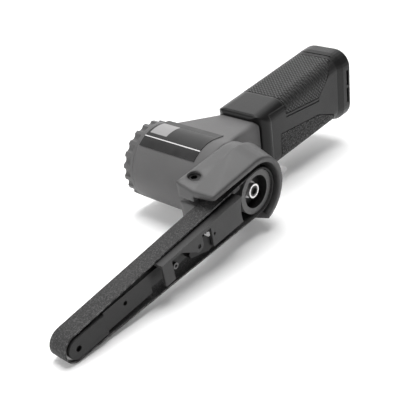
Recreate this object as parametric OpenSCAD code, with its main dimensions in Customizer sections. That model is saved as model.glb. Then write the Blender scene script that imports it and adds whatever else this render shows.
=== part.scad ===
// Air powered belt file: a vane motor across the tool drives a narrow abrasive belt round a slim arm.
// X runs from the handle to the tip of the belt, Y along the motor to the drive pulley, Z up.
// The tool lies as it is put down, on the tip of its arm and on its trigger, with the ground at Z = 0.

/* [Belt] */
// Width of the abrasive belt
belt_width = 10; // [9:0.5:12]
// Length of the belt, measured round its abrasive side
belt_length = 330; // [325:1:345]
// Thickness of the belt
belt_thick = 0.9; // [0.6:0.05:1.1]
// Radius of the drive pulley
drive_r = 12.6; // [12.2:0.1:13.2]
// Radius of the idler roller
idler_r = 6.3; // [6.1:0.1:6.8]

/* [Drive pulley] */
// Distance of the pulley face inside the near edge of the belt
pulley_inset = 1.3; // [0.8:0.1:1.6]
// Radius of the recess in the pulley face
recess_r = 9.2; // [8:0.1:10]
// Thickness of the pulley web behind the recess
pulley_web = 3; // [2.5:0.1:3.5]
// Radius of the bright washer under the pulley screw
washer_r = 4.8; // [4.5:0.1:5.5]
// Radius of the pulley screw head
screw_head_r = 4; // [3:0.1:4.2]

/* [Arm] */
// Angle by which the arm slopes down to its tip
arm_droop = 9; // [7:0.5:12]
// Distance of the bracket mouth from the pulley axis
bracket_reach = 79; // [77:0.5:80]
// Height of the bracket at the pulley
bracket_rear_h = 15; // [14:0.5:16]
// Height of the bracket at its mouth
bracket_mouth_h = 12.4; // [12:0.2:13]
// Sheet thickness of the bracket
bracket_wall = 1.5; // [1.2:0.1:1.6]
// Distance that the bracket stands out past the near edge of the belt
bracket_out = 4.2; // [4:0.1:4.6]
// Height of the slide arm outside the bracket
slide_h = 11; // [10:0.2:11.4]
// Height of the slide arm inside the bracket
slide_tail_h = 8; // [7:0.2:8.4]
// Distance that the slide arm can be pressed back
slide_travel = 5; // [3:0.5:5]
// Length of the fork behind the idler axle
fork_length = 17; // [16:0.5:19]
// Radius of the rounded fork cheeks
cheek_r = 5.3; // [4.8:0.1:5.6]
// Radius of the idler axle
axle_r = 1.5; // [1.2:0.1:1.7]

/* [Guard] */
// Outer radius of the clamp collar
collar_r = 24.2; // [23.5:0.1:25]
// Width of the clamp collar along the motor
collar_width = 10.5; // [10:0.5:12]
// Distance of the clamp jaw front from the motor axis
jaw_reach = 37; // [36:0.5:39]
// Height of the lower clamp jaw's underside above the motor axis
jaw_low = 1.4; // [0.5:0.1:2]
// Width of the slit between the clamp jaws
slit_width = 2.8; // [2:0.1:3]
// Height of the slit above the motor axis
slit_rise = 11; // [10.5:0.1:11.4]
// Reach of the hood lip from the motor axis
lip_reach = 35.4; // [34:0.2:36.4]
// Height of the hood lip above the motor axis
lip_rise = 19.3; // [18.8:0.1:19.8]
// Room between the belt and the inside of the hood
hood_room = 3.3; // [3:0.1:3.6]
// Wall of the hood
hood_wall = 2.6; // [2.2:0.1:3]
// Distance of the clamp screw from the jaw front
clamp_inset = 9; // [8:0.1:9.4]

/* [Motor] */
// Outer radius of the motor barrel
barrel_r = 22.8; // [22.4:0.1:23.2]
// Length of the motor barrel without its cap
barrel_length = 50.7; // [49.5:0.1:54]
// Radius of the bore inside the barrel
bore_r = 18.6; // [18.2:0.1:19]
// Thickness of the end cap
cap_thick = 7; // [6:0.5:9]
// Count of scallops round the end cap
scallop_count = 20; // [12:1:24]
// Radius of the nose that the collar clamps on
nose_r = 18.4; // [17.5:0.1:18.8]
// Radius of the motor shaft at the pulley
shaft_r = 4; // [3.6:0.1:4.4]
// Radius of the rotor
rotor_r = 12.4; // [11.8:0.1:12.6]
// Count of vanes in the rotor
vane_count = 4; // [4:1:6]

/* [Handle] */
// Width of the handle at its front
handle_width = 36; // [35.5:0.5:38]
// Height of the handle at its front
handle_height = 38; // [37.5:0.5:40]
// Radius of the long edges of the handle
handle_edge_r = 7.5; // [6.5:0.5:8.5]
// Angle by which the handle rises to its back end
handle_rise = 5.6; // [4:0.2:7]
// Distance of the handle back end from the motor axis
handle_reach = 137.5; // [135:0.5:147]
// Wall of the handle sleeve
sleeve_wall = 3.4; // [3.2:0.1:3.6]
// Distance of the front ring from the motor axis
ring_start = 41; // [40.5:0.1:41.5]
// Length of the front ring
ring_length = 9.7; // [9.2:0.1:10.2]
// Length of the tail cap
tail_length = 14.5; // [14:0.1:16]
// Radius of the air inlet thread bore
inlet_r = 5.56; // [5.2:0.01:5.8]
// Length of the air inlet thread
inlet_depth = 15; // [13:0.5:16]

/* [Trigger] */
// Width of the trigger
trigger_width = 22; // [20:0.5:24]
// Distance from the trigger pivot to its tip
trigger_length = 37.3; // [36:0.1:39]
// Depth of the trigger below its pivot
trigger_drop = 12; // [11:0.1:12.2]
// Distance of the trigger pivot from the motor axis
pivot_back = 34; // [33:0.1:35]
// Radius of the valve stem
stem_r = 2; // [1.6:0.1:2.3]

/* [Fits] */
// Clearance round a shaft that turns in its bore
run_clear = 0.04; // [0.02:0.01:0.08]
// Clearance round a piece that is seated in another
seat_clear = 0.05; // [0.02:0.01:0.1]
// Gap between the belt and the pulleys inside it
belt_gap = 0.15; // [0.1:0.05:0.2]
// Gap between faces that slide past each other
slide_gap = 0.3; // [0.2:0.05:0.4]

/* [Hidden] */

$fn = 64;
// Facets of the rounded corners inside a hull
hull_fn = 32;
// Overrun of every cut
over = 1;
// Thickness of the slices that a hull joins
slice = 0.6;

// Belt loop
belt_in_drive = drive_r + belt_gap;
belt_in_idler = idler_r + belt_gap;
belt_out_drive = belt_in_drive + belt_thick;
belt_out_idler = belt_in_idler + belt_thick;
belt_runs = belt_length - PI * (belt_out_drive + belt_out_idler);
radius_step = drive_r - idler_r;
centre_dist = (belt_runs + sqrt(belt_runs * belt_runs - 8 * radius_step * radius_step)) / 4;
belt_lean = asin(radius_step / centre_dist);
belt_steps = 48;
function belt_inside(along) = (belt_in_drive - along * sin(belt_lean)) / cos(belt_lean);

// Places along the motor axis, from the near edge of the belt
guard_gap = 0.5;
guard_out = 1.5;
nose_gap = 0.3;
collar_near = -belt_width - guard_gap;
collar_far = collar_near - collar_width;
barrel_near = collar_far - slide_gap;
barrel_far = barrel_near - barrel_length;
cap_far = barrel_far - cap_thick;
nose_end = collar_near - nose_gap;
handle_share = 0.467;
handle_mid = barrel_near - barrel_length * handle_share;

// Motor inside the barrel
nose_wall = 5;
front_plate_t = 5;
rear_plate_t = 9;
cap_spigot = 2.5;
rotor_side_gap = 0.15;
liner_bore_r = 14.5;
liner_offset = 1.6;
front_bearing_r = 11;
front_bearing_t = 7;
rear_bearing_r = 9.5;
rear_bearing_t = 6;
rear_shaft_r = 3;
shaft_room = 0.5;
slot_width = 1.7;
slot_root_r = 5;
vane_out = 0.15;
seal_r = 0.9;
seal_seat = 1.2;
scallop_r = 2.7;
scallop_depth = 5;
scallop_bite = 1.5;
cap_dish_r = 17;
cap_dish_depth = 2;
bore_end = barrel_near - nose_wall;
liner_near = bore_end - front_plate_t;
liner_far = barrel_far + cap_spigot + rear_plate_t;
bearing_near = nose_end - slide_gap;
bearing_far = bearing_near - front_bearing_t;

// Pulley on the shaft
pulley_far = slide_gap - belt_width;
web_near = pulley_far + pulley_web;
washer_t = 1;
washer_bore_r = 2.4;
screw_r = 2;
screw_head_t = 3;
screw_depth = 9;
hex_share = 0.55;

// Arm: places along the arm from the pulley axis
pulley_clear = 1.6;
face_clear = 7.4;
bracket_rise = 2.3;
bracket_tail = 10;
rib_at = 34.5;
rib_t = 1.5;
spring_pressed = 6.8;
spring_length = slide_travel + spring_pressed;
window_start = 43.4;
window_end = 72.4;
ear_at = 53.2;
ear_r = 3.1;
ear_bore_r = 1.25;
ear_front = 65.4;
ear_foot_share = 0.8;
face_hole_at = 41.4;
face_hole_r = 0.8;
mouth_spare = 0.3;
mouth_gap = slide_travel + mouth_spare;
slide_tail_start = rib_at + rib_t + spring_length;
shoulder_at = bracket_reach + mouth_gap;
fork_start = centre_dist - fork_length;
channel_near = bracket_out - bracket_wall;
channel_far = collar_near + bracket_wall;
slide_near = -0.6;
slide_far = channel_far + slide_gap;
slide_mid = (slide_near + slide_far) / 2;
lever_t = 4.5;
lever_near = channel_near - seat_clear;
lever_far = lever_near - lever_t;
tail_near = lever_far - slide_gap;
window_top = bracket_mouth_h / 2 - bracket_wall;
slide_hole_at = 101;
slide_hole_r = 1.2;
slide_hole_rise = 1;
arm_screw_backs = [14, 6];
arm_screw_places = [for (back = arm_screw_backs) jaw_reach - back];
arm_screw_r = 1.5;
arm_screw_head_r = 2.8;
arm_screw_head_t = 3;
arm_screw_depth = 5.5;
arm_screw_end = collar_near - arm_screw_depth;
shoe_start = 30;
shoe_end = 74;
shoe_near = -2;
shoe_gap = 0.3;

// Release lever outline, as shares of its reach and height about its pivot
lever_reach = 12.4;
lever_height = 8.5;
lever_shares = [
    [0, 0.4], [-0.55, 0.18], [-0.85, -0.3], [-0.9, -0.85], [-0.55, -0.95],
    [0.05, -0.66], [0.45, -0.5], [0.52, -0.18], [0.4, 0.06], [0.2, 0.3]
];
lever_pin_r = 1.2;
lever_pin_inset = 0.5;

// Tension spring and valve spring
spring_r = 2.2;
spring_wire_r = 0.45;
spring_curls = 6;
spring_end = spring_wire_r + seat_clear;
spring_run = spring_length - 2 * spring_end;
valve_spring_r = 3.2;
valve_spring_wire_r = 0.4;
valve_spring_curls = 5;
curl_rings = 8;
tube_sides = 6;

// Tracking screw and fork
tracking_at = 66.5;
tracking_rise = -2.2;
tracking_head_r = 1.7;
tracking_head_t = 1.6;
tracking_r = 1.2;
tracking_depth = 4;
seam_gap = 0.7;
tongue_length = 5.6;
tongue_h = 4;
fork_base = 7;
fork_h = 10.4;
cheek_t = 1.8;
cheek_out = 1;
fork_pin_at = 3.2;
fork_pin_r = 1.2;
axle_inset = 1.2;
idler_bearing_r = 4;
idler_bearing_t = 2.5;
roller_near = cheek_out - cheek_t - slide_gap;
roller_far = slide_gap - belt_width - cheek_out + cheek_t;

// Guard
hood_in_r = belt_out_drive + hood_room;
hood_out_r = hood_in_r + hood_wall + slide_gap;
lip_inside = lip_rise - hood_wall;
hood_step = 1.2;
hood_lap = 2;
hood_far = collar_near - hood_lap;
jaw_slope_share = 0.86;
jaw_top = collar_r - jaw_slope_share * (collar_r - lip_rise);
guard_front = max(jaw_reach, lip_reach) + over;
skirt_back = 4;
guard_deep = 40;
clamp_at = jaw_reach - clamp_inset;
clamp_shift = 0.9;
clamp_y = (collar_near + collar_far) / 2 - clamp_shift;
clamp_seat = 18.5;
clamp_r = 2;
clamp_head_r = 3.5;
clamp_head_t = 3;
clamp_low = 3;

// Label
label_t = 0.3;
label_from = 45;
label_tail = 5;
label_turn_share = 1.9;
label_inset = 8.7;
label_edge = 1;
label_near = barrel_near - label_inset;
label_far = barrel_far + label_edge;
label_length = label_near - label_far;

// Handle
neck_half = 23.3;
neck_low = 18;
neck_edge_r = 4;
ring_out = 0.5;
handle_lift = -0.4;
handle_half = handle_height / 2;
inner_edge_r = handle_edge_r - sleeve_wall;
inner_width = handle_width - 2 * sleeve_wall;
inner_height = handle_height - 2 * sleeve_wall;
spigot_width = inner_width - 2 * seat_clear;
spigot_height = inner_height - 2 * seat_clear;
neck_end_low = handle_half - ring_out;
neck_end_h = spigot_height / 2 + neck_end_low;
neck_shift = (spigot_height / 2 - neck_end_low) / 2;
neck_top = handle_lift + spigot_height / 2;
neck_top_x = neck_top * sin(handle_rise) - ring_start * cos(handle_rise);
neck_top_z = neck_top * cos(handle_rise) + ring_start * sin(handle_rise);
neck_slope = atan2(barrel_r - neck_top_z, -slice - neck_top_x);
label_turn = max(0, label_turn_share * neck_slope);
label_tail_from = barrel_r * sin(label_turn) - slice;
sleeve_start = ring_start + ring_length;
tail_start = handle_reach - tail_length;
side_taper = 0.9;
top_swell = 5;
low_swell = 0.6;
edge_swell = 1;
body_length = tail_start - ring_start;
corner_share = 0.95;
corner_r = ring_length * corner_share;
corner_half = handle_width / 2 - corner_r;
spigot_length = 8;
tube_r = 11;
passage_r = 5;
tube_short = 3;
tube_end = tail_start - tube_short;
rest_end = 65.5;
rest_t = 2.4;
rest_top = handle_lift + handle_half;
rest_low = rest_top - rest_t;
rest_edge_r = 2.4;
pad_t = 1.6;
pad_gap = 0.5;
pad_rim = 1.2;
pad_end = tail_start - pad_rim;
groove_depth = 0.6;
groove_width = 0.8;
tail_edge_r = 1.5;
tail_side_flare = 0.95;
tail_top_flare = 0.9;
tail_low_flare = 3.1;
tail_corner_swell = 2.4;
flare_length = 6;
tail_step = 30;
groove_back = 1.8;
groove_low = handle_lift + handle_half + top_swell - groove_depth;
tail_wall = 2.4;
silencer_t = 3;
silencer_at = 0.5;
vent_length = 2.2;
vent_height = 10.4;
vent_spacing = 12.2;
vent_back = 2.6;
vent_shift = 1.2;
top_pad_shares = [[0, 0.62], [0.625, 0.363], [0.95, 1.2], [1, 1.2], [1, 1.6], [0, 1.6]];
side_pad_front = 58;
side_pad_rim = 2;
side_pad_back = tail_start - side_pad_rim;
side_pad_shares = [[0, -1.2], [0.03, 0.03], [0.667, -0.253], [0.94, -0.653], [1, -1.2]];
side_pad_inner = 11;
groove_drop = 2.6;

// Inlet bush
bush_r = 9;
bush_nut_r = 11.5;
bush_nut_t = 3.5;
bush_flat = 10;
bush_spigot_r = 7.5;
bush_spigot = 7;
inlet_end = handle_reach + bush_nut_t;

// Trigger and valve
pivot_drop = 2.95;
pivot_z = handle_lift - handle_half - pivot_drop;
pivot_eye_r = 3.4;
pivot_pin_r = 1.5;
pivot_ear_t = 2.4;
pivot_ear_up = 9;
pin_over = 0.4;
trigger_shares = [
    [0, 0.28], [0.054, 0.2], [0.697, -0.067], [0.831, -0.267], [1, -0.667], [0.979, -0.883],
    [0.858, -1], [0.764, -0.9], [0.643, -0.533], [0.375, -0.333], [0, -0.283]
];
stem_back = 24;
stem_at = pivot_back + stem_back;
stem_gap = 0.15;
valve_boss_r = 8;
valve_bore_r = 5.6;
valve_seat = 5.2;
valve_head_r = 4.4;
valve_head_t = 2;
valve_room = 6.2;
valve_spring_end = valve_spring_wire_r + seat_clear;
valve_spring_low = handle_lift - valve_seat + valve_head_t + valve_spring_end;
valve_spring_run = handle_lift + valve_room - valve_spring_end - valve_spring_low;

// Place of the motor axis, so that the origin is under the middle of the tool, on the ground
tip_x = centre_dist * cos(arm_droop) + belt_out_idler;
back_x = -inlet_end * cos(handle_rise) + (handle_lift - bush_nut_r) * sin(handle_rise);
ground_z = -centre_dist * sin(arm_droop) - belt_out_idler;
motor_at = [-(tip_x + back_x) / 2, -(bracket_out + cap_far) / 2, -ground_z];

// Frames of the three main groups
module motor_frame() {
    translate(motor_at) rotate([-90, 0, 0]) children();
}

module arm_frame() {
    translate(motor_at) rotate([0, arm_droop, 0]) children();
}

module handle_frame() {
    translate(motor_at + [0, handle_mid, 0]) rotate([0, handle_rise, 0]) children();
}

// Shapes that repeat
module rod(r, low, high) {
    translate([0, 0, low]) cylinder(r = r, h = high - low);
}

module tube(r_out, r_in, low, high) {
    difference() {
        rod(r_out, low, high);
        rod(r_in, low - over, high + over);
    }
}

// Side view outline drawn in X and Z, made solid from its near face away from the viewer
module slab(near, thick) {
    translate([0, near, 0]) rotate([90, 0, 0]) linear_extrude(thick) children();
}

// Section of the handle drawn in Y and Z, made solid backwards along the handle
module along_handle(start, end) {
    translate([-start, 0, handle_lift]) rotate([90, 0, -90]) linear_extrude(end - start) children();
}

module handle_rod(r, start, end) {
    translate([-start, 0, handle_lift]) rotate([0, -90, 0]) cylinder(r = r, h = end - start);
}

// Pin across the arm at a place in its side view
module cross_rod(r, along, rise, near, far) {
    translate([along, near, rise]) rotate([90, 0, 0]) cylinder(r = r, h = near - far);
}

module round_rect(width, height, r) {
    square([width - 2 * r, height], center = true);
    square([width, height - 2 * r], center = true);
    for (x = [-1, 1], y = [-1, 1])
        translate([x * (width / 2 - r), y * (height / 2 - r)]) circle(r = r);
}

module hex_socket(r, depth) {
    cylinder(r = r, h = depth, $fn = 6);
}

// Round wire wound along X, as one unbroken tube
function curl_point(t, curls, radius, length) =
    [t * length, radius * cos(360 * curls * t), radius * sin(360 * curls * t)];

function curl_side(t, k, curls, radius, length, wire_r) =
    let (turn = 360 * curls * t)
    let (out = [0, cos(turn), sin(turn)])
    let (rise = [length / (2 * PI * radius * curls), -sin(turn), cos(turn)])
    let (side = cross(rise / norm(rise), out))
    let (round = 360 * k / tube_sides)
    curl_point(t, curls, radius, length) + wire_r * (cos(round) * out + sin(round) * side);

function curl_gap(curls, radius, length, wire_r) =
    let (count = curls * curl_rings)
    min([for (i = [0 : count]) for (j = [i + curl_rings / 2 : count])
        norm(curl_point(i / count, curls, radius, length) - curl_point(j / count, curls, radius, length))])
    - 2 * wire_r;

module coil(curls, radius, length, wire_r) {
    count = curls * curl_rings;
    points = [for (i = [0 : count]) for (k = [0 : tube_sides - 1])
        curl_side(i / count, k, curls, radius, length, wire_r)];
    first = [for (k = [1 : tube_sides - 2]) [0, k + 1, k]];
    last = [for (k = [1 : tube_sides - 2]) [0, k, k + 1] + count * tube_sides * [1, 1, 1]];
    sides = [for (i = [0 : count - 1]) for (k = [0 : tube_sides - 1]) for (half = [0, 1])
        let (a = i * tube_sides + k)
        let (b = i * tube_sides + (k + 1) % tube_sides)
        half == 0 ? [a, b, b + tube_sides] : [a, b + tube_sides, a + tube_sides]];
    polyhedron(points = points, faces = concat(first, last, sides));
}

// Outline of a belt round both pulleys
function arc_points(centre, r, start, sweep) =
    [for (i = [0 : belt_steps])
        let (turn = start + sweep * i / belt_steps)
        centre + r * [cos(turn), sin(turn)]];

module belt_loop(r_drive, r_idler) {
    polygon(concat(
        arc_points([0, 0], r_drive, 90 - belt_lean, 180 + 2 * belt_lean),
        arc_points([centre_dist, 0], r_idler, 270 + belt_lean, 180 - 2 * belt_lean)
    ));
}

// Motor housing and motor
module neck() {
    hull() {
        translate(motor_at + [-slice, handle_mid - neck_half, -neck_low])
            cube([slice, 2 * neck_half, neck_low + barrel_r]);
        handle_frame() translate([0, 0, neck_shift]) along_handle(ring_start - slice, ring_start)
            round_rect(spigot_width, neck_end_h, neck_edge_r, $fn = hull_fn);
    }
}

module air_passage() {
    handle_frame() handle_rod(passage_r, liner_bore_r, tube_end + over);
}

module trigger_ear(near) {
    slab(near, pivot_ear_t) translate([-pivot_back, pivot_z]) {
        circle(r = pivot_eye_r);
        translate([-pivot_eye_r, 0]) square([2 * pivot_eye_r, pivot_ear_up]);
    }
}

module motor_housing() {
    color("#706e6f") difference() {
        union() {
            motor_frame() rod(barrel_r, barrel_far, barrel_near);
            motor_frame() rod(nose_r, bore_end, nose_end);
            neck();
            handle_frame() {
                along_handle(ring_start - over, sleeve_start + spigot_length)
                    round_rect(spigot_width, spigot_height, inner_edge_r);
                handle_rod(tube_r, ring_start, tube_end);
                translate([-stem_at, 0, 0])
                    rod(valve_boss_r, handle_lift - inner_height / 2 + slide_gap, handle_lift);
                trigger_ear(trigger_width / 2 + slide_gap + pivot_ear_t);
                trigger_ear(-trigger_width / 2 - slide_gap);
            }
        }
        motor_frame() rod(bore_r, barrel_far - over, bore_end);
        motor_frame() rod(front_bearing_r, bearing_far, nose_end + over);
        motor_frame() rod(shaft_r + shaft_room, bore_end - over, nose_end + over);
        air_passage();
        handle_frame() {
            handle_rod(bush_spigot_r, tube_end - bush_spigot, tube_end + over);
            translate([-stem_at, 0, 0])
                rod(valve_bore_r, handle_lift - handle_half, handle_lift + valve_room);
            cross_rod(pivot_pin_r, -pivot_back, pivot_z, trigger_width, -trigger_width);
        }
    }
}

module end_cap() {
    color("#6a6869") motor_frame() difference() {
        union() {
            rod(barrel_r, cap_far, barrel_far);
            rod(bore_r - seat_clear, barrel_far - over, barrel_far + cap_spigot);
        }
        for (i = [0 : scallop_count - 1])
            rotate(360 * i / scallop_count)
                translate([barrel_r + scallop_r - scallop_bite, 0, 0])
                    rod(scallop_r, cap_far - over, cap_far + scallop_depth);
        rod(cap_dish_r, cap_far - over, cap_far + cap_dish_depth);
        translate([0, 0, barrel_far + seal_seat])
            rotate_extrude() translate([bore_r - seal_r, 0]) square(2 * seal_r, center = true);
    }
}

module cap_seal() {
    color("#202020") motor_frame() translate([0, 0, barrel_far + seal_seat])
        rotate_extrude() translate([bore_r - seal_r - seat_clear, 0]) circle(r = seal_r - seat_clear);
}

module label_plate() {
    color("#3a3a3c") motor_frame() {
        intersection() {
            tube(barrel_r + seat_clear + label_t, barrel_r + seat_clear, label_far, label_near);
            translate([0, 0, label_far]) linear_extrude(label_length)
                polygon(2 * barrel_r * [
                    [0, 0], [cos(label_from), -sin(label_from)], [1, -1],
                    [-sin(label_turn), -cos(label_turn)]
                ]);
        }
        translate([-slice, -barrel_r, label_far]) rotate(-neck_slope)
            translate([-label_tail_from - label_tail, -label_t - seat_clear, 0])
                cube([label_tail, label_t, label_length]);
    }
}

module cylinder_liner() {
    color("#9a9a9c") difference() {
        motor_frame() difference() {
            rod(bore_r - seat_clear, liner_far, liner_near);
            translate([0, -liner_offset, 0]) rod(liner_bore_r, liner_far - over, liner_near + over);
        }
        air_passage();
    }
}

module front_plate() {
    color("#8c8c90") motor_frame() tube(bore_r - seat_clear, shaft_r + shaft_room, liner_near, bore_end);
}

module rear_plate() {
    rear_face = liner_far - rear_plate_t;
    color("#8c8c90") motor_frame() difference() {
        tube(bore_r - seat_clear, rear_shaft_r + shaft_room, rear_face, liner_far);
        rod(rear_bearing_r, rear_face - over, rear_face + rear_bearing_t);
    }
}

module front_bearing() {
    color("#b8bcc0") motor_frame()
        tube(front_bearing_r - seat_clear, shaft_r + run_clear, bearing_far, bearing_near);
}

module rear_bearing() {
    rear_face = liner_far - rear_plate_t;
    color("#b8bcc0") motor_frame()
        tube(rear_bearing_r - seat_clear, rear_shaft_r + run_clear, rear_face, rear_face + rear_bearing_t);
}

module vane_places() {
    for (i = [0 : vane_count - 1])
        rotate(360 * i / vane_count) children();
}

module rotor() {
    color("#a8a8ac") motor_frame() difference() {
        union() {
            rod(rotor_r, liner_far + rotor_side_gap, liner_near - rotor_side_gap);
            rod(shaft_r, liner_near - over, web_near - seat_clear);
            rod(rear_shaft_r, liner_far - rear_plate_t + slide_gap, liner_far + over);
        }
        vane_places() translate([slot_root_r, -slot_width / 2, liner_far])
            cube([rotor_r, slot_width, liner_near - liner_far]);
        rod(screw_r, web_near - screw_depth - over, web_near + over);
    }
}

module vanes() {
    thick = slot_width - 2 * seat_clear;
    color("#5a4632") motor_frame() vane_places()
        translate([slot_root_r + seat_clear, -thick / 2, liner_far + rotor_side_gap])
            cube([rotor_r + vane_out - slot_root_r, thick, liner_near - liner_far - 2 * rotor_side_gap]);
}

// Drive pulley on the shaft
module drive_pulley() {
    color("#555354") motor_frame() difference() {
        rod(drive_r, pulley_far, -pulley_inset);
        rod(recess_r, web_near, over);
        rod(shaft_r + seat_clear, pulley_far - over, web_near + over);
    }
}

module pulley_washer() {
    color("#dddddd") motor_frame() tube(washer_r, washer_bore_r, web_near, web_near + washer_t);
}

module pulley_screw() {
    seat = web_near + washer_t;
    color("#9a9a9c") motor_frame() difference() {
        union() {
            rod(screw_head_r, seat, seat + screw_head_t);
            rod(screw_r - seat_clear, web_near - screw_depth, seat + over);
        }
        translate([0, 0, seat + screw_head_t / 2]) hex_socket(screw_head_r * hex_share, screw_head_t);
    }
}

// Guard and arm
// Clamp jaws, with a top that slopes down to the hood
module jaw_block() {
    hull() {
        translate([0, collar_far, jaw_low]) cube([slice, collar_width, collar_r - hood_step - jaw_low]);
        translate([jaw_reach - slice, 0, 0]) rotate([90, 0, 90]) linear_extrude(slice) polygon([
            [collar_far, jaw_low], [collar_far, collar_r - hood_step],
            [collar_near, jaw_top], [collar_near, jaw_low]
        ]);
    }
}

module guard_body() {
    cross_rod(collar_r - hood_step, 0, 0, collar_near, collar_far);
    jaw_block();
    hull() {
        slab(hood_far, slice) circle(r = collar_r, $fn = hull_fn);
        slab(collar_near, slice) translate([jaw_reach - slice, jaw_low]) square([slice, jaw_top - jaw_low]);
        slab(guard_out, slice) {
            circle(r = hood_out_r, $fn = hull_fn);
            translate([lip_reach - slice, lip_rise - slice]) square(slice);
        }
    }
}

module guard() {
    color("#757374") arm_frame() difference() {
        guard_body();
        slab(guard_out + over, guard_out + over - collar_near) {
            circle(r = hood_in_r);
            polygon([
                [0, hood_in_r], [lip_reach, lip_inside], [guard_front, lip_inside],
                [guard_front, -guard_deep], [-skirt_back, -guard_deep], [-skirt_back, 0]
            ]);
        }
        cross_rod(nose_r + run_clear, 0, 0, collar_near + over, collar_far - over);
        translate([0, collar_far - over, slit_rise])
            cube([jaw_reach + over, collar_width + over, slit_width]);
        translate([clamp_at, clamp_y, 0]) {
            rod(clamp_r + seat_clear, clamp_low - over, collar_r);
            rod(clamp_head_r + seat_clear, clamp_seat, collar_r + over);
        }
        for (along = arm_screw_places)
            cross_rod(arm_screw_r + seat_clear, along, 0, collar_near + over, arm_screw_end);
    }
}

module clamp_screw() {
    color("#1c1c1e") arm_frame() translate([clamp_at, clamp_y, 0]) difference() {
        union() {
            rod(clamp_r, clamp_low, clamp_seat + over);
            rod(clamp_head_r, clamp_seat, clamp_seat + clamp_head_t);
        }
        translate([0, 0, clamp_seat + clamp_head_t / 2]) hex_socket(clamp_head_r * hex_share, clamp_head_t);
    }
}

module bracket_side(inset) {
    polygon([
        [bracket_tail, -bracket_rear_h / 2 + inset], [bracket_tail, bracket_rear_h / 2 - inset],
        [bracket_reach, bracket_mouth_h / 2 - inset], [bracket_reach, -bracket_mouth_h / 2 + inset]
    ]);
}

module bracket_channel() {
    slab(channel_near, channel_near - channel_far) difference() {
        polygon([
            [0, -bracket_rear_h], [0, bracket_rear_h / 2 - bracket_wall],
            [bracket_tail, bracket_rear_h / 2 - bracket_wall],
            [bracket_reach, bracket_mouth_h / 2 - bracket_wall],
            [bracket_reach + over, bracket_mouth_h / 2 - bracket_wall],
            [bracket_reach + over, -bracket_rear_h]
        ]);
        translate([rib_at, -bracket_mouth_h / 2]) square([rib_t, bracket_rear_h]);
    }
}

module bracket_window() {
    difference() {
        translate([window_start, -bracket_rear_h])
            square([window_end - window_start, bracket_rear_h + window_top]);
        translate([ear_at, 0]) circle(r = ear_r);
        polygon([
            [ear_at - ear_r, 0], [ear_at - ear_r, window_top + over], [ear_front, window_top + over],
            [ear_front, window_top], [ear_at + ear_r / 2, -ear_r * ear_foot_share]
        ]);
    }
}

module arm_bracket() {
    color("#605e5f") arm_frame() difference() {
        translate([0, 0, bracket_rise]) difference() {
            slab(bracket_out, bracket_out - collar_near) bracket_side(0);
            bracket_channel();
            slab(bracket_out + over, bracket_wall + over) bracket_window();
            cross_rod(ear_bore_r, ear_at, 0, bracket_out + over, channel_near - over);
            cross_rod(face_hole_r, face_hole_at, 0, bracket_out + over, channel_near - over);
        }
        cross_rod(drive_r + pulley_clear, 0, 0, bracket_out + over, collar_near - over);
        cross_rod(drive_r + face_clear, 0, 0, bracket_out + over, -pulley_inset - over);
        for (along = arm_screw_places)
            cross_rod(arm_screw_r + seat_clear, along, 0, channel_far + over, collar_near - over);
    }
}

module arm_screws() {
    color("#303032") arm_frame() for (along = arm_screw_places) difference() {
        union() {
            cross_rod(arm_screw_head_r, along, 0, channel_far + arm_screw_head_t, channel_far);
            cross_rod(arm_screw_r, along, 0, channel_far + over, arm_screw_end + seat_clear);
        }
        translate([along, channel_far + arm_screw_head_t / 2, 0])
            rotate([-90, 0, 0]) hex_socket(arm_screw_head_r * hex_share, arm_screw_head_t);
    }
}

module backing_shoe() {
    taper = (bracket_rear_h - bracket_mouth_h) / 2 / (bracket_reach - bracket_tail);
    rear_top = bracket_rise + bracket_rear_h / 2;
    start_low = rear_top - taper * (shoe_start - bracket_tail);
    end_low = rear_top - taper * (shoe_end - bracket_tail);
    color("#4a4a4e") arm_frame() slab(shoe_near, belt_width + 2 * shoe_near) polygon([
        [shoe_start, start_low], [shoe_end, end_low],
        [shoe_end, belt_inside(shoe_end) - shoe_gap], [shoe_start, belt_inside(shoe_start) - shoe_gap]
    ]);
}

module abrasive_belt() {
    color("#504e4e") arm_frame() slab(0, belt_width) difference() {
        belt_loop(belt_out_drive, belt_out_idler);
        belt_loop(belt_in_drive, belt_in_idler);
    }
}

module release_lever() {
    color("#2c2b2c") arm_frame() difference() {
        slab(lever_near, lever_t) translate([ear_at, bracket_rise]) {
            circle(r = ear_r);
            polygon([for (p = lever_shares) [p[0] * lever_reach, p[1] * lever_height]]);
        }
        cross_rod(lever_pin_r + run_clear, ear_at, bracket_rise, bracket_out, lever_far - over);
    }
}

module lever_pin() {
    color("#3c3c3e") arm_frame()
        cross_rod(lever_pin_r, ear_at, bracket_rise, bracket_out - lever_pin_inset, lever_far);
}

module tension_spring() {
    color("#b0b2b6") arm_frame()
        translate([rib_at + rib_t + spring_end, (tail_near + slide_far) / 2, 0])
            coil(spring_curls, spring_r, spring_run, spring_wire_r);
}

module tracking_screw() {
    color("#c4c6c8") arm_frame() translate([tracking_at, tail_near, tracking_rise])
        rotate([-90, 0, 0]) difference() {
            union() {
                rod(tracking_head_r, seat_clear, tracking_head_t);
                rod(tracking_r, -tracking_depth, tracking_head_t);
            }
            translate([0, 0, tracking_head_t / 2]) hex_socket(tracking_head_r * hex_share, tracking_head_t);
        }
}

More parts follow.
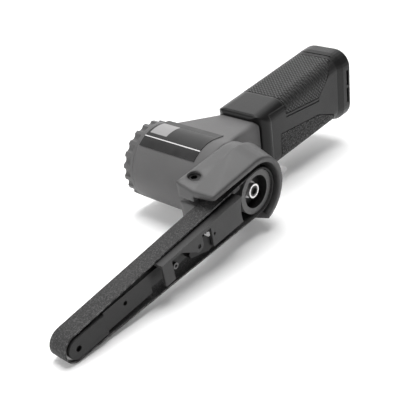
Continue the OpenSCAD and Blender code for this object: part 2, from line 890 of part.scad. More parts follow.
module slide_arm() {
    color("#4c4a4b") arm_frame() difference() {
        union() {
            translate([slide_tail_start, slide_far, -slide_tail_h / 2])
                cube([shoulder_at + over - slide_tail_start, tail_near - slide_far, slide_tail_h]);
            translate([shoulder_at, slide_far, -slide_h / 2])
                cube([fork_start - seam_gap - shoulder_at, slide_near - slide_far, slide_h]);
            translate([fork_start - seam_gap - over, slide_far, -tongue_h / 2])
                cube([tongue_length + over, tail_near - slide_far, tongue_h]);
        }
        cross_rod(slide_hole_r, slide_hole_at, slide_hole_rise, slide_near + over, slide_far - over);
        cross_rod(tracking_r + run_clear, tracking_at, tracking_rise,
            tail_near + over, tail_near - tracking_depth - seat_clear);
        translate([fork_start + fork_pin_at, slide_mid, 0])
            rod(fork_pin_r + run_clear, -tongue_h, tongue_h);
    }
}

// Idler at the tip
module cheek(near) {
    slab(near, cheek_t) {
        translate([centre_dist, 0]) circle(r = cheek_r);
        translate([fork_start, -cheek_r]) square([fork_length, 2 * cheek_r]);
    }
}

module idler_fork() {
    color("#474546") arm_frame() difference() {
        union() {
            cheek(cheek_out);
            cheek(cheek_t - cheek_out - belt_width);
            translate([fork_start, -belt_width - cheek_out, -fork_h / 2])
                cube([fork_base, belt_width + 2 * cheek_out, fork_h]);
        }
        translate([fork_start - over, slide_far - slide_gap, -tongue_h / 2 - slide_gap])
            cube([tongue_length + over, tail_near - slide_far + 2 * slide_gap, tongue_h + 2 * slide_gap]);
        translate([fork_start + fork_pin_at, slide_mid, 0]) rod(fork_pin_r, -fork_h, fork_h);
        cross_rod(axle_r, centre_dist, 0, belt_width, -2 * belt_width);
    }
}

module fork_pin() {
    color("#8a8a8e") arm_frame() translate([fork_start + fork_pin_at, slide_mid, 0])
        rod(fork_pin_r, -fork_h / 2, fork_h / 2);
}

module idler_axle() {
    color("#8a8a8e") arm_frame()
        cross_rod(axle_r, centre_dist, 0, cheek_out - axle_inset, axle_inset - belt_width - cheek_out);
}

module idler_roller() {
    color("#8e8e92") arm_frame() difference() {
        cross_rod(idler_r, centre_dist, 0, roller_near, roller_far);
        cross_rod(idler_bearing_r, centre_dist, 0, roller_near + over, roller_near - idler_bearing_t);
        cross_rod(idler_bearing_r, centre_dist, 0, roller_far + idler_bearing_t, roller_far - over);
        cross_rod(axle_r + shaft_room, centre_dist, 0, roller_near + over, roller_far - over);
    }
}

module idler_bearings() {
    color("#b8bcc0") arm_frame() for (near = [roller_near, roller_far + idler_bearing_t]) difference() {
        cross_rod(idler_bearing_r - seat_clear, centre_dist, 0, near, near - idler_bearing_t);
        cross_rod(axle_r + run_clear, centre_dist, 0, near + over, near - idler_bearing_t - over);
    }
}

// Handle
// Section of the handle at a place along it: lower and wider at the front, less an inset all round
module body_slice(at, inset) {
    share = (at - ring_start) / body_length;
    swell = share * (top_swell + low_swell);
    translate([0, 0, share * (top_swell - low_swell) / 2]) along_handle(at, at + slice)
        round_rect(handle_width - 2 * (share * side_taper + inset), handle_height + swell - 2 * inset,
            handle_edge_r + share * edge_swell - inset, $fn = hull_fn);
}

module handle_body(inset) {
    hull() {
        body_slice(ring_start - over, inset);
        body_slice(tail_start + over, inset);
    }
}

module inner_section() {
    round_rect(inner_width, inner_height, inner_edge_r);
}

// Front ring seen from above, with its two front corners rounded
module front_block() {
    translate([0, 0, handle_lift - handle_height]) linear_extrude(2 * handle_height) intersection() {
        translate([-sleeve_start, -handle_width]) square([ring_length, 2 * handle_width]);
        union() {
            translate([-sleeve_start, -handle_width])
                square([ring_length - corner_r, 2 * handle_width]);
            translate([-ring_start - corner_r, -corner_half]) square([corner_r, 2 * corner_half]);
            for (side = [-1, 1])
                translate([-ring_start - corner_r, side * corner_half]) circle(r = corner_r);
        }
    }
}

module rest_zone(grow) {
    translate([-rest_end - grow, -handle_width, rest_low - grow])
        cube([rest_end - sleeve_start + over + grow, 2 * handle_width, handle_height]);
}

// What is taken off the upper front edge of the ring to round it
module rest_edge() {
    slab(handle_width, 2 * handle_width)
        translate([-ring_start - rest_edge_r, rest_top - rest_edge_r]) difference() {
            square(rest_edge_r + over);
            circle(r = rest_edge_r);
        }
}

module thumb_rest() {
    color("#1f1f20") handle_frame() intersection() {
        handle_body(0);
        union() {
            difference() {
                front_block();
                along_handle(ring_start - over, sleeve_start + over) inner_section();
                rest_edge();
            }
            rest_zone(0);
        }
    }
}

module side_zone(shares, start, end) {
    slab(handle_width, 2 * handle_width)
        polygon([for (p = shares) [-start - p[0] * (end - start), handle_lift + p[1] * handle_half]]);
}

module top_pad_zone(grow) {
    translate([0, 0, -grow]) side_zone(top_pad_shares, rest_end + pad_gap - grow, pad_end + grow);
}

module lower_pad_zone(grow) {
    difference() {
        translate([0, 0, grow]) side_zone(side_pad_shares, side_pad_front - grow, side_pad_back + grow);
        translate([-side_pad_back - over, -side_pad_inner + grow, -handle_height])
            cube([side_pad_back + over, 2 * (side_pad_inner - grow), handle_height]);
    }
}

module handle_sleeve() {
    color("#2b2a2b") handle_frame() difference() {
        intersection() {
            handle_body(0);
            along_handle(sleeve_start, tail_start) square(2 * handle_height, center = true);
        }
        along_handle(sleeve_start - over, tail_start + over) inner_section();
        difference() {
            union() {
                top_pad_zone(pad_gap);
                lower_pad_zone(pad_gap);
            }
            handle_body(pad_t);
        }
        difference() {
            translate([0, 0, -groove_drop]) side_zone(top_pad_shares, rest_end, pad_end);
            translate([0, 0, groove_width - groove_drop]) side_zone(top_pad_shares, rest_end, pad_end);
            translate([-handle_reach, -handle_width, handle_lift])
                cube([(handle_reach - rest_end) / 2, 2 * handle_width, handle_height]);
            handle_body(groove_depth);
        }
        rest_zone(seat_clear);
        translate([-stem_at, 0, 0])
            rod(valve_bore_r, handle_lift - handle_height, handle_lift - inner_height / 2 + over);
    }
}

module top_grip_pad() {
    color("#333233") handle_frame() difference() {
        intersection() {
            handle_body(0);
            top_pad_zone(0);
        }
        handle_body(pad_t - seat_clear);
    }
}

module grip_pad(side) {
    color("#333233") handle_frame() difference() {
        intersection() {
            handle_body(0);
            lower_pad_zone(0);
            translate([-handle_reach, side > 0 ? 0 : -handle_width, -handle_height])
                cube([handle_reach, handle_width, 2 * handle_height]);
        }
        handle_body(pad_t - seat_clear);
    }
}

module left_grip_pad() {
    grip_pad(1);
}

module right_grip_pad() {
    grip_pad(-1);
}

// Section of the tail cap, flared from the end of the handle and less the rounding of its edge
module tail_slice(start, share, inset) {
    flare = share * (tail_top_flare + tail_low_flare) + top_swell + low_swell;
    lift = share * (tail_top_flare - tail_low_flare) + top_swell - low_swell;
    translate([0, 0, lift / 2]) along_handle(start, start + slice)
        round_rect(handle_width + 2 * (share * tail_side_flare - side_taper - inset),
            handle_height + flare - 2 * inset,
            handle_edge_r + edge_swell + share * tail_corner_swell - inset, $fn = hull_fn);
}

module tail_cap() {
    color("#242324") handle_frame() difference() {
        hull() {
            tail_slice(tail_start, 0, 0);
            tail_slice(tail_start + flare_length, 1, 0);
            for (turn = [0 : tail_step : 90])
                tail_slice(handle_reach - slice - tail_edge_r * (1 - sin(turn)),
                    1, tail_edge_r * (1 - cos(turn)));
        }
        along_handle(tail_start - over, handle_reach - tail_wall) inner_section();
        handle_rod(bush_r + seat_clear, tail_start, handle_reach + over);
        translate([-tail_start - groove_back - groove_width, -handle_width, groove_low])
            cube([groove_width, 2 * handle_width, handle_height]);
        for (side = [-1, 1])
            translate([-handle_reach + vent_back, -handle_width, handle_lift + vent_shift])
                translate([0, 0, (side * vent_spacing - vent_height) / 2])
                    cube([vent_length, 2 * handle_width, vent_height]);
    }
}

module exhaust_silencer() {
    start = tail_start + silencer_at;
    color("#8a7a5a") handle_frame() difference() {
        along_handle(start, start + silencer_t)
            round_rect(spigot_width, spigot_height, inner_edge_r);
        handle_rod(bush_r + seat_clear, tail_start, handle_reach);
    }
}

module air_inlet_bush() {
    color("#a4a6a8") handle_frame() difference() {
        union() {
            handle_rod(bush_spigot_r - seat_clear, tube_end - bush_spigot + seat_clear, tube_end + over);
            handle_rod(bush_r, tube_end, handle_reach + over);
            intersection() {
                handle_rod(bush_nut_r, handle_reach, inlet_end);
                translate([-inlet_end, -bush_flat, handle_lift - bush_nut_r])
                    cube([inlet_end, 2 * bush_flat, 2 * bush_nut_r]);
            }
        }
        handle_rod(inlet_r, inlet_end - inlet_depth, inlet_end + over);
        handle_rod(passage_r, tube_end - bush_spigot - over, inlet_end);
    }
}

// Trigger and throttle valve
module trigger() {
    color("#b8b5b6") handle_frame() difference() {
        slab(trigger_width / 2, trigger_width) translate([-pivot_back, pivot_z]) {
            circle(r = pivot_eye_r);
            polygon([for (p = trigger_shares) [-p[0] * trigger_length, p[1] * trigger_drop]]);
        }
        cross_rod(pivot_pin_r + run_clear, -pivot_back, pivot_z, trigger_width, -trigger_width);
    }
}

module trigger_pin() {
    half = trigger_width / 2 + slide_gap + pivot_ear_t + pin_over;
    color("#8a8a8e") handle_frame() cross_rod(pivot_pin_r, -pivot_back, pivot_z, half, -half);
}

module valve_stem() {
    seat = handle_lift - valve_seat;
    color("#b0b2b6") handle_frame() translate([-stem_at, 0, 0]) {
        rod(stem_r, pivot_z + stem_gap, seat + over);
        rod(valve_head_r, seat + seat_clear, seat + valve_head_t);
    }
}

module valve_bush() {
    color("#b89b54") handle_frame() translate([-stem_at, 0, 0])
        tube(valve_bore_r - seat_clear, stem_r + run_clear,
            handle_lift - handle_half, handle_lift - valve_seat);
}

module valve_spring() {
    color("#b0b2b6") handle_frame() translate([-stem_at, 0, valve_spring_low]) rotate([0, -90, 0])
        coil(valve_spring_curls, valve_spring_r, valve_spring_run, valve_spring_wire_r);
}

// Least gap of each spring to itself
echo(tension_spring_gap = curl_gap(spring_curls, spring_r, spring_run, spring_wire_r));
echo(valve_spring_gap =
    curl_gap(valve_spring_curls, valve_spring_r, valve_spring_run, valve_spring_wire_r));

motor_housing();
end_cap();
cap_seal();
label_plate();
cylinder_liner();
front_plate();
rear_plate();
front_bearing();
rear_bearing();
rotor();
vanes();
drive_pulley();
pulley_washer();
pulley_screw();
guard();
clamp_screw();
arm_bracket();
arm_screws();
backing_shoe();
abrasive_belt();
release_lever();
lever_pin();
tension_spring();
tracking_screw();
slide_arm();
idler_fork();
fork_pin();
idler_axle();
idler_roller();
idler_bearings();
thumb_rest();
handle_sleeve();
top_grip_pad();
left_grip_pad();
right_grip_pad();
tail_cap();
exhaust_silencer();
air_inlet_bush();
trigger();
trigger_pin();
valve_stem();
valve_bush();
valve_spring();
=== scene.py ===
import math

import bpy
from mathutils import Matrix, Vector

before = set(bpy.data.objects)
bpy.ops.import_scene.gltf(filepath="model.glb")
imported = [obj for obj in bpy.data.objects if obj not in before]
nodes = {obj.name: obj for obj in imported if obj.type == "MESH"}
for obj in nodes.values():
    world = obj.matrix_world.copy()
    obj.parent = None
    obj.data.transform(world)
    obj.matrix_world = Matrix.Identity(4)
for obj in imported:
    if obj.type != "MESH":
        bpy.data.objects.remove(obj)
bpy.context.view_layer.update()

# Places of the motor and the handle in the part's frame
MM = 0.001
MOTOR = Vector((1.9495, 37.4, 27.978)) * MM
HANDLE_RISE = math.radians(5.6)
HANDLE_MID = -44.977 * MM

# Camera, fitted to the straight edges and circles of the photo
CAMERA_PLACE = (0.290816, 0.26193, 0.21564)
CAMERA_RIGHT = Vector((-0.65466, 0.75364, -0.05875))
CAMERA_DOWN = Vector((0.38367, 0.26430, -0.88484))
CAMERA_AHEAD = Vector((-0.65132, -0.60181, -0.46217))
CAMERA_LENS = 69.45
SENSOR_WIDTH = 36
CLIP_NEAR = 0.01
CLIP_FAR = 20

# Tint of the greys, and the part of a noise over which a surface goes from dark to light
GREEN_SHARE = 0.985
BLUE_SHARE = 0.99
MOTTLE_LOW = 0.3
MOTTLE_HIGH = 0.7

# Radii of the rounded look of cast and moulded edges
CAST_ROUND = 3 * MM
CAP_ROUND = 0.6 * MM
REST_ROUND = 1.6 * MM

# Widths of the small rounded edges on the rigid pieces
EDGE_ANGLE = math.radians(35)
EDGE_SEGMENTS = 2
EDGE_WIDTHS = {
    "guard": 0.8 * MM,
    "arm_bracket": 0.3 * MM,
    "slide_arm": 0.4 * MM,
    "idler_fork": 0.4 * MM,
    "trigger": 0.6 * MM,
    "release_lever": 0.2 * MM,
    "drive_pulley": 0.4 * MM,
    "pulley_washer": 0.2 * MM,
    "pulley_screw": 0.3 * MM,
    "clamp_screw": 0.3 * MM,
    "thumb_rest": 0.9 * MM,
    "tracking_screw": 0.2 * MM,
}

# Floor
FLOOR_HALF = 10.0
FLOOR_GLOW = 0.12
FLOOR_ROUGH = 0.9
FLOOR_DARK = (0.9, 0.9, 0.9, 1)
FLOOR_LIGHT = (0.92, 0.92, 0.92, 1)
WHITE = (1, 1, 1, 1)

# Lamps
TOP_LIGHT = {"place": (-0.08, -0.02, 1.2), "target": (0, 0, 0), "size": 0.8, "power": 16}
SIDE_LIGHT = {"place": (0.95, -0.4, 0.5), "target": (0, 0, 0.02), "size": 0.9, "power": 6}

# Bright zone behind the tool and pale band at the horizon: where each starts and ends, and its level there
ZONE_WAY = (-0.734, -0.678, 0.25)
ZONE_LEVELS = (0.45, 0.92, 0.05, 1.8)
HORIZON_LEVELS = (0.05, 0.3, 0.75, 0.0)

# Sockets of the range and mix nodes
RANGE_ENDS = (1, 2, 3, 4)
MIX_FACTOR, MIX_A, MIX_B = 0, 6, 7
MIX_COLOUR = 2


def add_object(name, data):
    obj = bpy.data.objects.new(name, data)
    bpy.context.scene.collection.objects.link(obj)
    return obj


def make_camera():
    cam = bpy.data.cameras.new("photo_camera")
    obj = add_object("photo_camera", cam)
    turn = Matrix((CAMERA_RIGHT, -CAMERA_DOWN, -CAMERA_AHEAD)).transposed()
    obj.matrix_world = Matrix.Translation(CAMERA_PLACE) @ turn.to_4x4()
    cam.sensor_width = SENSOR_WIDTH
    cam.lens = CAMERA_LENS
    cam.clip_start = CLIP_NEAR
    cam.clip_end = CLIP_FAR
    bpy.context.scene.camera = obj


def grey(value):
    return (value, value * GREEN_SHARE, value * BLUE_SHARE, 1)


# Shader graph of one material
class Graph:
    bevel_samples = 8
    new_stop_at = 0.5

    def __init__(self, name):
        self.mat = bpy.data.materials.new(name)
        self.mat.use_nodes = True
        self.tree = self.mat.node_tree
        self.bsdf = self.tree.nodes["Principled BSDF"]
        self.coord = self.tree.nodes.new("ShaderNodeTexCoord").outputs["Object"]

    def node(self, kind, **values):
        n = self.tree.nodes.new(kind)
        for key, value in values.items():
            setattr(n, key, value)
        return n

    def feed(self, socket, value):
        if isinstance(value, bpy.types.NodeSocket):
            self.tree.links.new(value, socket)
        else:
            socket.default_value = value

    def math(self, op, a, b=0.0):
        n = self.node("ShaderNodeMath", operation=op)
        self.feed(n.inputs[0], a)
        self.feed(n.inputs[1], b)
        return n.outputs[0]

    def local(self, place, turn):
        n = self.node("ShaderNodeMapping", vector_type="TEXTURE")
        self.feed(n.inputs["Vector"], self.coord)
        n.inputs["Location"].default_value = place
        n.inputs["Rotation"].default_value = turn
        return n.outputs[0]

    def stretched(self, scale):
        n = self.node("ShaderNodeMapping")
        self.feed(n.inputs["Vector"], self.coord)
        n.inputs["Scale"].default_value = scale
        return n.outputs[0]

    def split(self, vector):
        n = self.node("ShaderNodeSeparateXYZ")
        self.feed(n.inputs[0], vector)
        return n.outputs[0], n.outputs[1], n.outputs[2]

    # Distance from the motor's axis
    def axis_distance(self):
        x, _, z = self.split(self.coord)
        dx = self.math("SUBTRACT", x, MOTOR.x)
        dz = self.math("SUBTRACT", z, MOTOR.z)
        squares = self.math("ADD", self.math("MULTIPLY", dx, dx), self.math("MULTIPLY", dz, dz))
        return self.math("SQRT", squares)

    def noise(self, scale, detail=4.0, rough=0.55, vector=None):
        n = self.node("ShaderNodeTexNoise")
        self.feed(n.inputs["Vector"], vector or self.coord)
        n.inputs["Scale"].default_value = scale
        n.inputs["Detail"].default_value = detail
        n.inputs["Roughness"].default_value = rough
        return n.outputs["Fac"]

    def cells(self, scale):
        n = self.node("ShaderNodeTexVoronoi", feature="F1")
        self.feed(n.inputs["Vector"], self.coord)
        n.inputs["Scale"].default_value = scale
        return n.outputs["Distance"]

    def ramp(self, fac, stops):
        n = self.node("ShaderNodeValToRGB")
        self.feed(n.inputs[0], fac)
        elements = n.color_ramp.elements
        while len(elements) < len(stops):
            elements.new(self.new_stop_at)
        for element, (at, colour) in zip(elements, stops):
            element.position = at
            element.color = colour
        return n.outputs[0]

    def mottled(self, fac, dark, light):
        return self.ramp(fac, [(MOTTLE_LOW, dark), (MOTTLE_HIGH, light)])

    def mix(self, fac, a, b):
        n = self.node("ShaderNodeMix", data_type="RGBA")
        self.feed(n.inputs[MIX_FACTOR], fac)
        self.feed(n.inputs[MIX_A], a)
        self.feed(n.inputs[MIX_B], b)
        return n.outputs[MIX_COLOUR]

    def span(self, fac, low, high, to_low=0.0, to_high=1.0):
        n = self.node("ShaderNodeMapRange")
        self.feed(n.inputs[0], fac)
        for socket, value in zip(RANGE_ENDS, (low, high, to_low, to_high)):
            n.inputs[socket].default_value = value
        return n.outputs[0]

    def mottled_rough(self, fac, low, high):
        return self.span(fac, MOTTLE_LOW, MOTTLE_HIGH, low, high)

    def band(self, value, low, high):
        above = self.math("GREATER_THAN", value, low)
        below = self.math("LESS_THAN", value, high)
        return self.math("MULTIPLY", above, below)

    def bump(self, height, distance, under=None):
        n = self.node("ShaderNodeBump")
        n.inputs["Strength"].default_value = 1.0
        n.inputs["Distance"].default_value = distance
        self.feed(n.inputs["Height"], height)
        if under is not None:
            self.feed(n.inputs["Normal"], under)
        return n.outputs[0]

    def rounded(self, radius):
        if radius is None:
            return None
        n = self.node("ShaderNodeBevel", samples=self.bevel_samples)
        n.inputs["Radius"].default_value = radius
        return n.outputs[0]

    def gloss(self, level):
        self.bsdf.inputs["Specular IOR Level"].default_value = level

    def done(self, colour, rough, normal=None, metal=0.0):
        self.feed(self.bsdf.inputs["Base Color"], colour)
        self.feed(self.bsdf.inputs["Roughness"], rough)
        self.bsdf.inputs["Metallic"].default_value = metal
        if normal is not None:
            self.feed(self.bsdf.inputs["Normal"], normal)
        return self.mat


# Materials
def enamel(name, base, round_r=None, shine=0.5):
    cloud_scale, peel_scale, detail = 60, 1500, 3
    dark_share, light_share = 0.94, 1.06
    low_rough, high_rough = 0.42, 0.54
    peel_depth = 0.06 * MM
    g = Graph(name)
    cloud = g.noise(cloud_scale, detail)
    colour = g.mottled(cloud, grey(base * dark_share), grey(base * light_share))
    peel = g.noise(peel_scale, detail)
    g.gloss(shine)
    normal = g.bump(peel, peel_depth, under=g.rounded(round_r))
    return g.done(colour, g.mottled_rough(cloud, low_rough, high_rough), normal)


def steel(name, base, rough):
    brushed = (1, 0.02, 1)
    line_scale, line_detail, line_rough = 1400, 4, 0.6
    line_low, line_high = 0.25, 0.75
    dark_share, light_share = 0.85, 1.1
    low_share, high_share = 0.8, 1.25
    line_depth = 0.02 * MM
    g = Graph(name)
    lines = g.noise(line_scale, line_detail, line_rough, g.stretched(brushed))
    colour = g.mottled(lines, grey(base * dark_share), grey(base * light_share))
    level = g.span(lines, line_low, line_high, rough * low_share, rough * high_share)
    return g.done(colour, level, g.bump(lines, line_depth), metal=1.0)


def black_plastic(name, base, rough, grain=2200, depth=0.05 * MM, shine=0.26, round_r=None):
    cloud_scale, cloud_detail = 45, 3
    dark_share, light_share = 0.85, 1.2
    low_share, high_share = 0.9, 1.1
    g = Graph(name)
    g.gloss(shine)
    skin = g.cells(grain)
    cloud = g.noise(cloud_scale, cloud_detail)
    colour = g.mottled(cloud, grey(base * dark_share), grey(base * light_share))
    level = g.mottled_rough(cloud, rough * low_share, rough * high_share)
    return g.done(colour, level, g.bump(skin, depth, under=g.rounded(round_r)))


def checkered(name, base, pitch, pitch_across):
    flank_share, depth_share = 0.32, 0.45
    groove_at, crest_at = 0.05, 0.75
    # Grooves are painted darker as painted shade, and crests lighter as painted highlight
    groove_shade_share, crest_highlight_share = 0.1, 1.5
    groove_rough, crest_rough = 0.7, 0.33
    shine = 0.5
    g = Graph(name)
    x, y, z = g.split(g.local(MOTOR + Vector((0, HANDLE_MID, 0)), (0, HANDLE_RISE, 0)))
    across = g.math("ADD", y, z)
    one_way = g.math("PINGPONG", g.math("ADD", x, across), pitch_across / 2)
    other_way = g.math("PINGPONG", g.math("SUBTRACT", x, across), pitch / 2)
    height = g.span(g.math("MINIMUM", one_way, other_way), 0, pitch * flank_share)
    colour = g.ramp(height, [(groove_at, grey(base * groove_shade_share)), (crest_at, grey(base * crest_highlight_share))])
    level = g.span(height, 0, 1, groove_rough, crest_rough)
    g.gloss(shine)
    return g.done(colour, level, g.bump(height, pitch * depth_share))


def pebbled(name, base, scale):
    crest_at, edge_at = 0.1, 0.75
    # Pebble crests are painted lighter as painted highlight, and the creases between them darker as painted
    # shade
    crest_highlight_share, crease_shade_share = 1.3, 0.3
    crest_rough, edge_rough = 0.36, 0.75
    depth = 1.2 * MM
    g = Graph(name)
    away = g.cells(scale)
    colour = g.ramp(away, [(crest_at, grey(base * crest_highlight_share)), (edge_at, grey(base * crease_shade_share))])
    level = g.span(away, crest_at, edge_at, crest_rough, edge_rough)
    return g.done(colour, level, g.bump(g.span(away, 0, edge_at, 1, 0), depth))


def abrasive():
    grain_scale, dust_scale, wear_scale, fray_highlight_scale = 1500, 900, 35, 500
    dust_detail, soft_detail = 4, 3
    grain_share, dust_share = 0.6, 0.5
    stops = [(0.25, grey(0.015)), (0.55, grey(0.03)), (0.8, grey(0.072))]
    # The light grey of the speckled band on the near edge is partly fray and partly a painted highlight
    worn_grey, edge_grey, fray_highlight_grey = grey(0.05), grey(0.02), grey(0.16)
    wear_low, wear_high, wear_most = 0.4, 0.7, 0.3
    fray_highlight_low, fray_highlight_high, fray_highlight_least, fray_highlight_most = 0.45, 0.6, 0.1, 0.8
    edge_depth = 0.12 * MM
    # Closer than this to the pulley axis the light band is left out, which paints shade where the hood
    # covers the belt
    hood_shade_reach = 12 * MM
    rough = 0.85
    grit_depth = 0.25 * MM
    g = Graph("abrasive_grain")
    grain = g.cells(grain_scale)
    dust = g.noise(dust_scale, dust_detail)
    wear = g.noise(wear_scale, soft_detail)
    grit = g.math("ADD", g.math("MULTIPLY", grain, grain_share), g.math("MULTIPLY", dust, dust_share))
    worn = g.mix(g.span(wear, wear_low, wear_high, 0.0, wear_most), g.ramp(grit, stops), worn_grey)
    x, y, _ = g.split(g.coord)
    edge = g.math("GREATER_THAN", y, MOTOR.y - edge_depth)
    # Speckled light band on the near edge: fray with a painted highlight. It stops near the pulley, as
    # painted shade under the hood
    fray_highlight_share = g.span(g.noise(fray_highlight_scale, soft_detail), fray_highlight_low, fray_highlight_high, fray_highlight_least, fray_highlight_most)
    past_hood_shade = g.math("GREATER_THAN", x, MOTOR.x + hood_shade_reach)
    fray_highlight_mask = g.math("MULTIPLY", g.math("MULTIPLY", edge, fray_highlight_share), past_hood_shade)
    colour = g.mix(fray_highlight_mask, g.mix(edge, worn, edge_grey), fray_highlight_grey)
    return g.done(colour, rough, g.bump(grit, grit_depth))


def label_film():
    rule_from, rule_to = math.radians(61.2), math.radians(62.8)
    block_from, block_to = math.radians(69), math.radians(99)
    block_far, block_near = -69.5 * MM, -57 * MM
    film_dark, film_light, rule_grey, block_grey = grey(0.026), grey(0.034), grey(0.62), grey(0.28)
    cloud_scale, cloud_detail = 120, 3
    low_rough, high_rough = 0.36, 0.46
    grain_scale, grain_detail = 2500, 2
    grain_depth = 0.01 * MM
    shine = 0.15
    g = Graph("label_film")
    x, y, z = g.split(g.coord)
    round_at = g.math("ARCTAN2", g.math("SUBTRACT", z, MOTOR.z), g.math("SUBTRACT", x, MOTOR.x))
    along = g.math("SUBTRACT", y, MOTOR.y)
    rule = g.band(round_at, rule_from, rule_to)
    block = g.math("MULTIPLY", g.band(round_at, block_from, block_to), g.band(along, block_far, block_near))
    cloud = g.noise(cloud_scale, cloud_detail)
    film = g.mottled(cloud, film_dark, film_light)
    colour = g.mix(block, g.mix(rule, film, rule_grey), block_grey)
    g.gloss(shine)
    level = g.mottled_rough(cloud, low_rough, high_rough)
    return g.done(colour, level, g.bump(g.noise(grain_scale, grain_detail), grain_depth))


def pulley_face():
    groove_half = 0.18 * MM
    recess_r = 9.25 * MM
    tone_scale = 700
    # Inside recess_r the face is painted near black: painted shade in the recess around the washer and
    # screw
    dark, light, recess_shade_grey = grey(0.085), grey(0.115), grey(0.006)
    low_rough, high_rough = 0.42, 0.55
    groove_depth = 0.03 * MM
    g = Graph("pulley_face")
    out = g.axis_distance()
    lathe = g.span(g.math("PINGPONG", out, groove_half), 0, groove_half)
    # Mask of the painted shade in the recess
    recess_shade_mask = g.math("LESS_THAN", out, recess_r)
    colour = g.mix(recess_shade_mask, g.mottled(g.noise(tone_scale), dark, light), recess_shade_grey)
    return g.done(colour, g.span(lathe, 0, 1, low_rough, high_rough), g.bump(lathe, groove_depth))


def screw_face():
    socket_r = 3.1 * MM
    tone_scale, tone_detail = 900, 3
    socket_dark, socket_light = grey(0.05), grey(0.08)
    # Outside socket_r the head is painted near white: a painted highlight on the chamfer
    highlight_rim_dark, highlight_rim_light = grey(0.8), grey(0.95)
    socket_rough, rim_rough = 0.5, 0.3
    grain_scale, grain_detail = 1500, 2
    grain_depth = 0.01 * MM
    metal = 0.6
    g = Graph("screw_face")
    # Mask of the painted highlight on the rim
    highlight_rim = g.math("GREATER_THAN", g.axis_distance(), socket_r)
    tone = g.noise(tone_scale, tone_detail)
    colour = g.mix(highlight_rim, g.mottled(tone, socket_dark, socket_light), g.mottled(tone, highlight_rim_dark, highlight_rim_light))
    level = g.span(highlight_rim, 0, 1, socket_rough, rim_rough)
    return g.done(colour, level, g.bump(g.noise(grain_scale, grain_detail), grain_depth), metal)


def felt(name, base):
    fuzz_scale, fuzz_detail, fuzz_rough = 1800, 6, 0.7
    dark_shares, light_shares = (0.8, 0.72, 0.55), (1, 0.9, 0.7)
    rough = 0.9
    fuzz_depth = 0.3 * MM
    g = Graph(name)
    fuzz = g.noise(fuzz_scale, fuzz_detail, fuzz_rough)
    dark, light = (tuple(base * s for s in shares) + (1,) for shares in (dark_shares, light_shares))
    return g.done(g.mottled(fuzz, dark, light), rough, g.bump(fuzz, fuzz_depth))


def brass(name, colour, rough):
    line_scale = 900
    dark_share = 0.8
    low_share, high_share = 0.8, 1.2
    line_depth = 0.02 * MM
    g = Graph(name)
    lines = g.noise(line_scale)
    shade = g.mottled(lines, tuple(c * dark_share for c in colour), colour)
    level = g.mottled_rough(lines, rough * low_share, rough * high_share)
    return g.done(shade, level, g.bump(lines, line_depth), metal=1.0)


def put(names, mat):
    for name in names:
        obj = nodes[name]
        obj.data.materials.clear()
        obj.data.materials.append(mat)


def dress_body():
    put(["motor_housing"], enamel("body_enamel", base=0.108, round_r=CAST_ROUND, shine=0.16))
    put(["end_cap"], enamel("cap_enamel", base=0.085, round_r=CAP_ROUND, shine=0.4))
    put(["guard"], enamel("guard_enamel", base=0.066, round_r=CAST_ROUND, shine=0.45))
    put(["label_plate"], label_film())
    put(["cap_seal"], black_plastic("seal_rubber", base=0.03, rough=0.7))
    put(["trigger"], enamel("trigger_plastic", base=0.86))


def dress_handle():
    rest = black_plastic(
        "rest_plastic", base=0.01, rough=0.32, grain=2600, depth=0.02 * MM, shine=0.22, round_r=REST_ROUND)
    put(["thumb_rest"], rest)
    put(["handle_sleeve"], black_plastic("sleeve_plastic", base=0.012, rough=0.44))
    put(["tail_cap"], black_plastic("tail_plastic", base=0.008, rough=0.36, shine=0.19))
    put(["top_grip_pad"], checkered("top_grip", base=0.007, pitch=2.4 * MM, pitch_across=3.4 * MM))
    put(["left_grip_pad", "right_grip_pad"], pebbled("side_grip", base=0.016, scale=760))
    put(["air_inlet_bush"], steel("bush_steel", base=0.24, rough=0.4))
    put(["exhaust_silencer"], felt("silencer_felt", base=0.4))


def dress_arm():
    put(["abrasive_belt"], abrasive())
    put(["arm_bracket"], enamel("bracket_coat", base=0.04, shine=0.34))
    put(["slide_arm"], enamel("slide_coat", base=0.025, shine=0.3))
    put(["idler_fork"], enamel("fork_coat", base=0.022, shine=0.28))
    blackened = steel("blackened_steel", base=0.03, rough=0.4)
    put(["release_lever", "clamp_screw", "arm_screws", "lever_pin"], blackened)
    put(["backing_shoe"], steel("shoe_steel", base=0.06, rough=0.4))
    put(["drive_pulley"], pulley_face())
    put(["idler_roller"], steel("roller_steel", base=0.3, rough=0.35))
    put(["pulley_screw"], screw_face())
    put(["pulley_washer"], steel("washer_steel", base=0.3, rough=0.3))
    put(["tracking_screw"], steel("tracking_steel", base=0.14, rough=0.35))
    put(["idler_axle"], steel("axle_steel", base=0.02, rough=0.5))
    put(["tension_spring"], steel("dark_spring_steel", base=0.08, rough=0.4))


def dress_inside():
    put(["fork_pin", "trigger_pin", "valve_stem"], steel("pin_steel", base=0.5, rough=0.3))
    bearing = steel("bearing_steel", base=0.6, rough=0.22)
    put(["idler_bearings", "front_bearing", "rear_bearing"], bearing)
    motor = steel("motor_steel", base=0.5, rough=0.3)
    put(["rotor", "cylinder_liner", "front_plate", "rear_plate"], motor)
    put(["valve_spring"], steel("spring_steel", base=0.55, rough=0.28))
    put(["vanes"], felt("vane_fibre", base=0.25))
    put(["valve_bush"], brass("bush_brass", colour=(0.62, 0.45, 0.18, 1), rough=0.3))


def soften(name, width):
    mod = nodes[name].modifiers.new("soft_edge", "BEVEL")
    mod.width = width
    mod.segments = EDGE_SEGMENTS
    mod.limit_method = "ANGLE"
    mod.angle_limit = EDGE_ANGLE
    mod.harden_normals = False


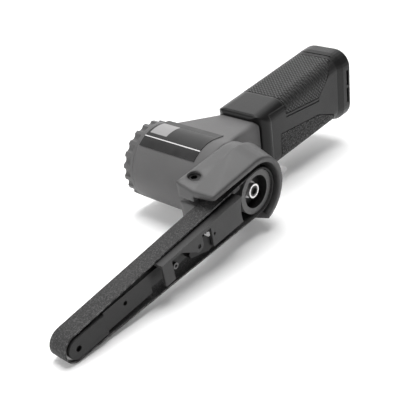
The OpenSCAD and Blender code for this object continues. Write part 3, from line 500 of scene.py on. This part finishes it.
def make_floor():
    tone_scale, tone_detail = 3, 2
    r = FLOOR_HALF
    mesh = bpy.data.meshes.new("floor")
    mesh.from_pydata([(-r, -r, 0), (r, -r, 0), (r, r, 0), (-r, r, 0)], [], [(0, 1, 2, 3)])
    obj = add_object("floor", mesh)
    g = Graph("floor_paper")
    tone = g.mottled(g.noise(tone_scale, tone_detail), FLOOR_DARK, FLOOR_LIGHT)
    g.bsdf.inputs["Emission Color"].default_value = WHITE
    g.bsdf.inputs["Emission Strength"].default_value = FLOOR_GLOW
    mesh.materials.append(g.done(tone, FLOOR_ROUGH))


def area_light(name, place, target, size, power):
    light = bpy.data.lights.new(name, "AREA")
    light.size = size
    light.energy = power
    obj = add_object(name, light)
    obj.location = place
    obj.rotation_euler = (Vector(target) - Vector(place)).to_track_quat("-Z", "Y").to_euler()


# Smooth change of the world's brightness with a value
def world_level(tree, value, levels):
    n = tree.nodes.new("ShaderNodeMapRange")
    n.interpolation_type = "SMOOTHSTEP"
    tree.links.new(value, n.inputs[0])
    for socket, level in zip(RANGE_ENDS, levels):
        n.inputs[socket].default_value = level
    return n.outputs[0]


def make_world():
    world = bpy.data.worlds.new("studio")
    bpy.context.scene.world = world
    world.use_nodes = True
    tree = world.node_tree
    way = tree.nodes.new("ShaderNodeTexCoord").outputs["Generated"]
    behind = tree.nodes.new("ShaderNodeVectorMath")
    behind.operation = "DOT_PRODUCT"
    tree.links.new(way, behind.inputs[0])
    behind.inputs[1].default_value = ZONE_WAY
    height = tree.nodes.new("ShaderNodeSeparateXYZ")
    tree.links.new(way, height.inputs[0])
    brighter = tree.nodes.new("ShaderNodeMath")
    brighter.operation = "MAXIMUM"
    tree.links.new(world_level(tree, behind.outputs["Value"], ZONE_LEVELS), brighter.inputs[0])
    tree.links.new(world_level(tree, height.outputs["Z"], HORIZON_LEVELS), brighter.inputs[1])
    background = tree.nodes["Background"]
    background.inputs["Color"].default_value = WHITE
    tree.links.new(brighter.outputs[0], background.inputs["Strength"])


def make_light():
    make_world()
    area_light("top_light", **TOP_LIGHT)
    area_light("side_light", **SIDE_LIGHT)
    bpy.context.scene.view_settings.view_transform = "Standard"


dress_body()
dress_handle()
dress_arm()
dress_inside()
for piece, edge_width in EDGE_WIDTHS.items():
    soften(piece, edge_width)
make_camera()
make_floor()
make_light()
